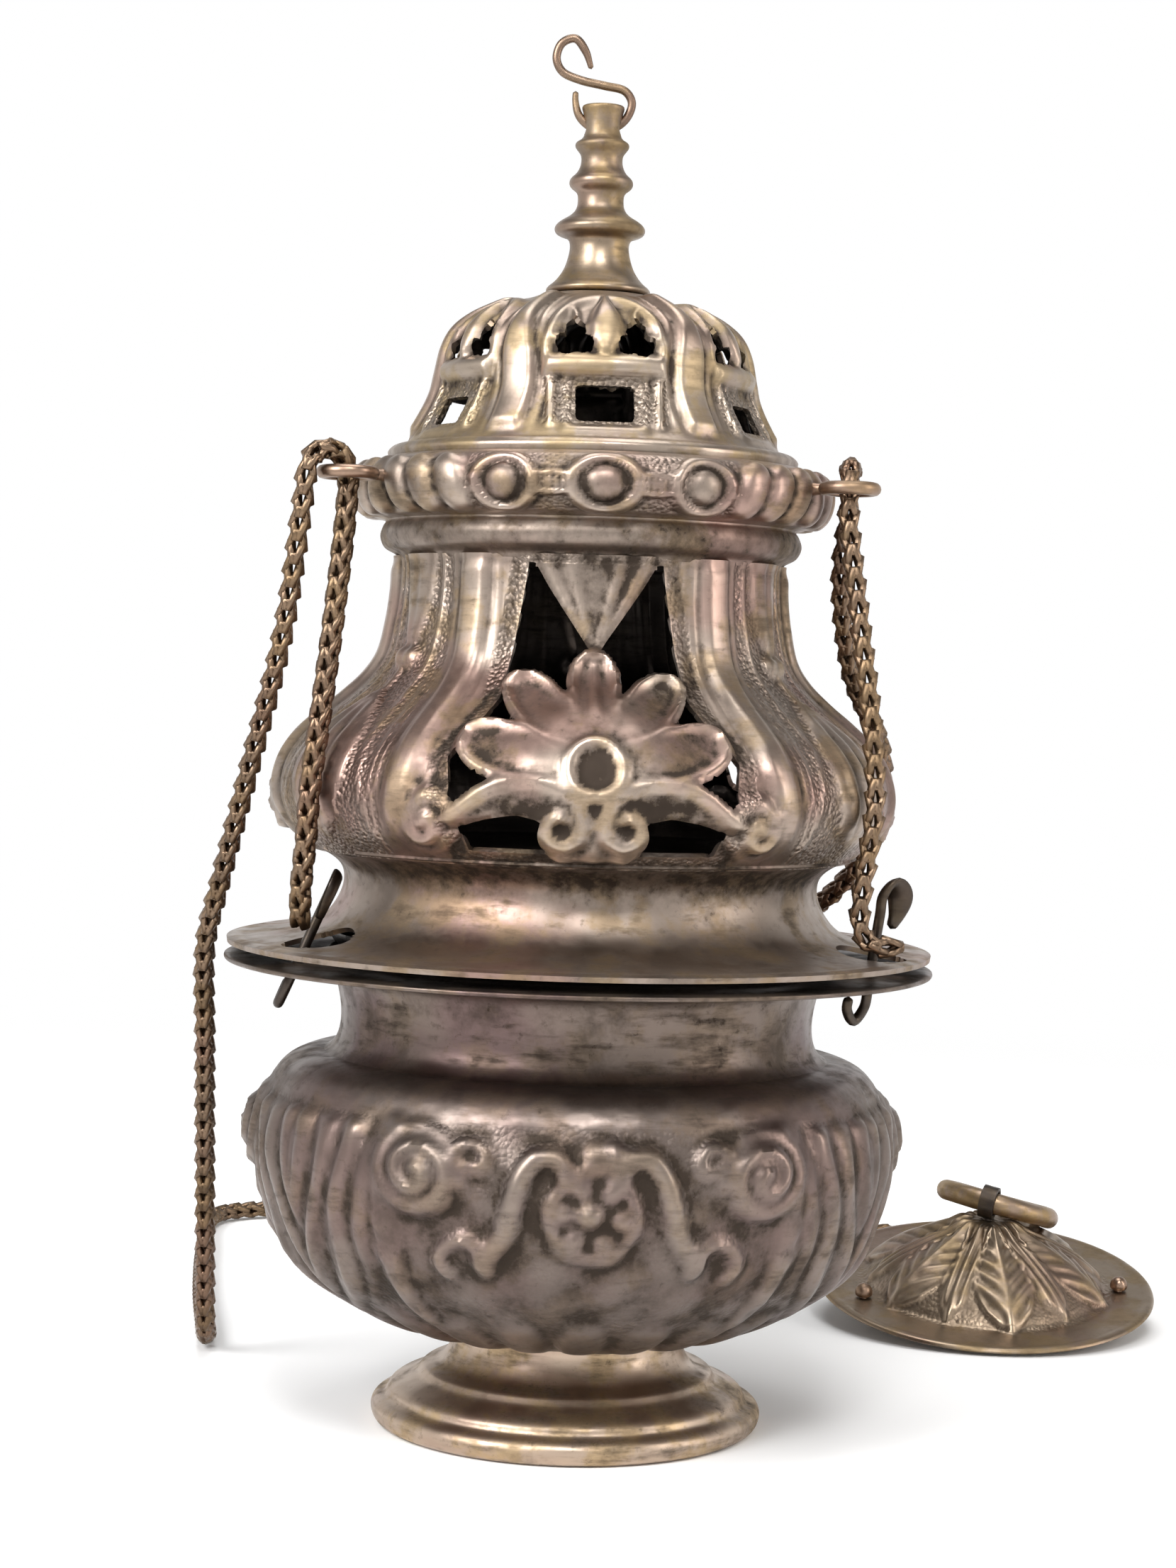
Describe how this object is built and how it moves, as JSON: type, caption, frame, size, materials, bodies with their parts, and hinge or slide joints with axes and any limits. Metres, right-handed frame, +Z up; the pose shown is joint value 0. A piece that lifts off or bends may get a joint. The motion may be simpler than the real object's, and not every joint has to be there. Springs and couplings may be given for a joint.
{
  "type": "thurible",
  "caption": "Baroque silvered brass thurible: footed chased bowl, pierced domed cover on chains, S-hook finial, flange hooks and a hand plate with a finger ring.",
  "frame": {"origin": "centre of the bounding box of everything but the chains, at the table", "axes": "+Z up; the bowl's front, with its window and its flower, faces -Y; the hand plate lies at the back right"},
  "size_m": [0.2326, 0.281, 0.2747],
  "materials": {
    "foot_metal": "worn golden-tan brass",
    "bowl_metal": "grey-brown tarnished silvered brass, chased",
    "cover_metal": "silvered brass, worn on the high places",
    "plate_metal": "warm tan silvered brass",
    "chain_metal": "brown bronze wire, polished by use",
    "dark_wire": "dark bronze wire",
    "iron": "sooty sheet iron"
  },
  "bodies": {
    "bowl": {"foot": "foot_metal", "bowl": "bowl_metal", "bowl_collar": "bowl_metal", "chain_left_guide": "chain_metal", "chain_left_fall": "chain_metal", "chain_left_rest": "chain_metal", "chain_right_guide": "chain_metal", "chain_right_fall": "chain_metal", "chain_right_rest": "chain_metal", "chain_back_guide": "chain_metal", "chain_back_fall": "chain_metal", "chain_back_rest": "chain_metal"},
    "charcoal_pan": {"charcoal_pan": "iron"},
    "cover": {"cover_collar": "cover_metal", "cover_belly": "cover_metal", "cornice_belt": "cover_metal", "chain_eye_left": "dark_wire", "chain_eye_right": "dark_wire", "chain_eye_back": "dark_wire", "cover_dome": "cover_metal", "finial": "cover_metal", "finial_nut": "iron"},
    "finial_hook": {"finial_hook": "dark_wire"},
    "flange_hook_left": {"flange_hook_left": "dark_wire"},
    "flange_hook_right": {"flange_hook_right": "dark_wire"},
    "flange_hook_back": {"flange_hook_back": "dark_wire"},
    "hand_plate": {"hand_plate": "plate_metal", "plate_lug": "dark_wire", "plate_stud_left": "plate_metal", "plate_stud_right": "plate_metal", "plate_stud_back": "plate_metal"},
    "plate_ring": {"plate_ring": "dark_wire"}
  },
  "joints": [
    {"name": "cover_lift", "type": "slide", "parent": "bowl", "child": "cover", "axis": [0, 0, 1], "range_m": [0, 0.06], "deforming": ["chain_left_guide", "chain_left_fall", "chain_right_guide", "chain_right_fall", "chain_back_guide", "chain_back_fall"]},
    {"name": "pan_lift", "type": "slide", "parent": "bowl", "child": "charcoal_pan", "axis": [0, 0, 1], "range_m": [0, 0.04]},
    {"name": "flange_hook_left_tip", "type": "hinge", "parent": "bowl", "child": "flange_hook_left", "pos_m": [-0.08646, -0.06345, 0.09095], "axis": [0.0872, -0.9962, 0], "range_deg": [-4, 4]},
    {"name": "flange_hook_right_tip", "type": "hinge", "parent": "bowl", "child": "flange_hook_right", "pos_m": [0.02263, -0.05868, 0.09095], "axis": [0.766, 0.6428, 0], "range_deg": [-4, 4]},
    {"name": "flange_hook_back_tip", "type": "hinge", "parent": "bowl", "child": "flange_hook_back", "pos_m": [-0.03509, 0.02375, 0.09095], "axis": [-0.9511, 0.309, 0], "range_deg": [-4, 4]},
    {"name": "finial_hook_swing", "type": "hinge", "parent": "cover", "child": "finial_hook", "pos_m": [-0.033, -0.03621, 0.2563], "axis": [1, 0, 0], "range_deg": [-75, 75]},
    {"name": "plate_lift", "type": "slide", "parent": "bowl", "child": "hand_plate", "axis": [0, 0, 1], "range_m": [0, 0.04]},
    {"name": "plate_ring_turn", "type": "hinge", "parent": "hand_plate", "child": "plate_ring", "pos_m": [0.064, 0.06388, 0.02826], "axis": [0.927, -0.3231, -0.1902], "range_deg": [0, 95]}
  ]
}
